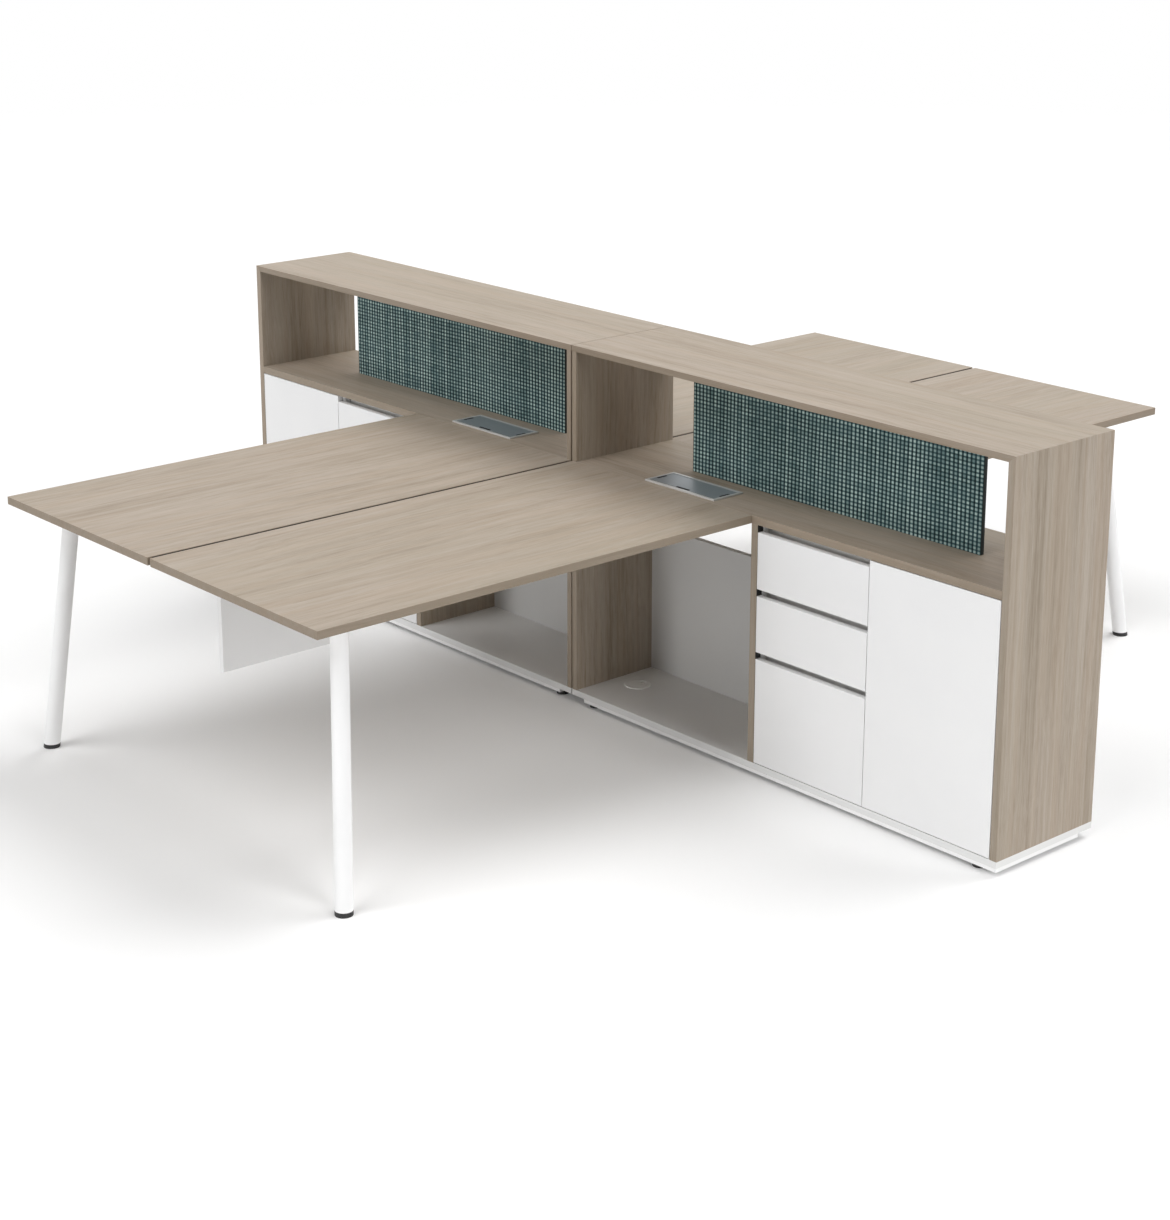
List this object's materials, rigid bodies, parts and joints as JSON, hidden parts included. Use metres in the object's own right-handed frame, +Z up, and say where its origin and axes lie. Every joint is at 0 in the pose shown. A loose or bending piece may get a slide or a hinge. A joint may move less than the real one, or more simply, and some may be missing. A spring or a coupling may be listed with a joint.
{
  "type": "four-person desk cluster",
  "caption": "Desk cluster: oak-decor desks on splayed white legs, joined to a low storage spine with drawers, doors, teal fabric screens and flip-lid power boxes.",
  "frame": {"origin": "on the floor, under the joint between the two cabinets, halfway through their depth", "axes": "+X along the cabinets to the right as seen from the drawers, +Y from the drawer side to the far desks, +Z up"},
  "size_m": [3.2, 3.18, 1.08],
  "materials": {
    "oak_laminate": "matt grey-brown oak decor with long straight grain",
    "white_laminate": "smooth satin white board",
    "white_board": "satin white board",
    "grey_laminate": "light grey board",
    "drawer_grey": "light grey drawer board",
    "white_steel": "white powder coat",
    "black_plastic": "matt black",
    "grey_plastic": "satin grey",
    "aluminium": "satin anodised",
    "lid_aluminium": "anodised blue-grey",
    "steel": "zinc plated",
    "teal_fabric": "coarse teal basket weave"
  },
  "bodies": {
    "cluster": {"base_rails": "white_steel", "bay_backs": "grey_laminate", "bay_divider_left": "oak_laminate", "bay_divider_right": "oak_laminate", "bottom_board_left": "white_board", "bottom_board_right": "white_board", "cabinet_feet": "black_plastic", "cabinet_runners": "steel", "desk_rails": "white_steel", "desk_top_back_left": "oak_laminate", "desk_top_back_right": "oak_laminate", "desk_top_front_left": "oak_laminate", "desk_top_front_right": "oak_laminate", "door_partitions": "white_laminate", "door_pivots": "steel", "end_panel_left": "oak_laminate", "end_panel_right": "oak_laminate", "grommet_rings": "grey_plastic", "joint_panel_left": "oak_laminate", "joint_panel_right": "oak_laminate", "leg_back_left": "white_steel", "leg_back_right": "white_steel", "leg_front_left": "white_steel", "leg_front_right": "white_steel", "leg_glides": "black_plastic", "loose_shelves": "white_laminate", "modesty_brackets": "white_steel", "modesty_panel_back": "white_laminate", "modesty_panel_front": "white_laminate", "power_frames": "aluminium", "power_trays": "black_plastic", "pull_channels": "aluminium", "screen_left": "teal_fabric", "screen_right": "teal_fabric", "shelf_board_left": "oak_laminate", "shelf_board_right": "oak_laminate", "shelf_pins": "steel", "storage_backs": "white_laminate", "top_board_left": "oak_laminate", "top_board_right": "oak_laminate"},
    "drawer_top_right": {"drawer_front_top_right": "white_laminate", "drawer_box_top_right": "drawer_grey"},
    "drawer_middle_right": {"drawer_front_middle_right": "white_laminate", "drawer_box_middle_right": "drawer_grey"},
    "drawer_bottom_right": {"drawer_front_bottom_right": "white_laminate", "drawer_box_bottom_right": "drawer_grey"},
    "door_right": {"door_right": "white_laminate"},
    "power_lid_front_right": {"power_lid_front_right": "lid_aluminium"},
    "power_lid_back_right": {"power_lid_back_right": "lid_aluminium"},
    "grommet_cap_right": {"grommet_cap_right": "grey_plastic"},
    "drawer_top_left": {"drawer_front_top_left": "white_laminate", "drawer_box_top_left": "drawer_grey"},
    "drawer_middle_left": {"drawer_front_middle_left": "white_laminate", "drawer_box_middle_left": "drawer_grey"},
    "drawer_bottom_left": {"drawer_front_bottom_left": "white_laminate", "drawer_box_bottom_left": "drawer_grey"},
    "door_left": {"door_left": "white_laminate"},
    "power_lid_front_left": {"power_lid_front_left": "lid_aluminium"},
    "power_lid_back_left": {"power_lid_back_left": "lid_aluminium"},
    "grommet_cap_left": {"grommet_cap_left": "grey_plastic"}
  },
  "joints": [
    {"name": "drawer_top_right_slide", "type": "slide", "parent": "cluster", "child": "drawer_top_right", "axis": [0, -1, 0], "range_m": [0, 0.22]},
    {"name": "drawer_middle_right_slide", "type": "slide", "parent": "cluster", "child": "drawer_middle_right", "axis": [0, -1, 0], "range_m": [0, 0.22]},
    {"name": "drawer_bottom_right_slide", "type": "slide", "parent": "cluster", "child": "drawer_bottom_right", "axis": [0, -1, 0], "range_m": [0, 0.22]},
    {"name": "door_right_hinge", "type": "hinge", "parent": "cluster", "child": "door_right", "pos_m": [1.552, -0.181, 0.38], "axis": [0, 0, 1], "range_deg": [0, 110]},
    {"name": "power_lid_front_right_hinge", "type": "hinge", "parent": "cluster", "child": "power_lid_front_right", "pos_m": [0.434, -0.0757, 0.7425], "axis": [-1, 0, 0], "range_deg": [0, 100]},
    {"name": "power_lid_back_right_hinge", "type": "hinge", "parent": "cluster", "child": "power_lid_back_right", "pos_m": [0.434, 0.0757, 0.7425], "axis": [1, 0, 0], "range_deg": [0, 100]},
    {"name": "grommet_cap_right_turn", "type": "hinge", "parent": "cluster", "child": "grommet_cap_right", "pos_m": [0.105, -0.022, 0.0435], "axis": [0, 0, 1], "continuous": true},
    {"name": "drawer_top_left_slide", "type": "slide", "parent": "cluster", "child": "drawer_top_left", "axis": [0, -1, 0], "range_m": [0, 0.22]},
    {"name": "drawer_middle_left_slide", "type": "slide", "parent": "cluster", "child": "drawer_middle_left", "axis": [0, -1, 0], "range_m": [0, 0.22]},
    {"name": "drawer_bottom_left_slide", "type": "slide", "parent": "cluster", "child": "drawer_bottom_left", "axis": [0, -1, 0], "range_m": [0, 0.22]},
    {"name": "door_left_hinge", "type": "hinge", "parent": "cluster", "child": "door_left", "pos_m": [-1.552, -0.181, 0.38], "axis": [0, 0, -1], "range_deg": [0, 110]},
    {"name": "power_lid_front_left_hinge", "type": "hinge", "parent": "cluster", "child": "power_lid_front_left", "pos_m": [-0.434, -0.0757, 0.7425], "axis": [-1, 0, 0], "range_deg": [0, 100]},
    {"name": "power_lid_back_left_hinge", "type": "hinge", "parent": "cluster", "child": "power_lid_back_left", "pos_m": [-0.434, 0.0757, 0.7425], "axis": [1, 0, 0], "range_deg": [0, 100]},
    {"name": "grommet_cap_left_turn", "type": "hinge", "parent": "cluster", "child": "grommet_cap_left", "pos_m": [-0.105, -0.022, 0.0435], "axis": [0, 0, 1], "continuous": true}
  ]
}
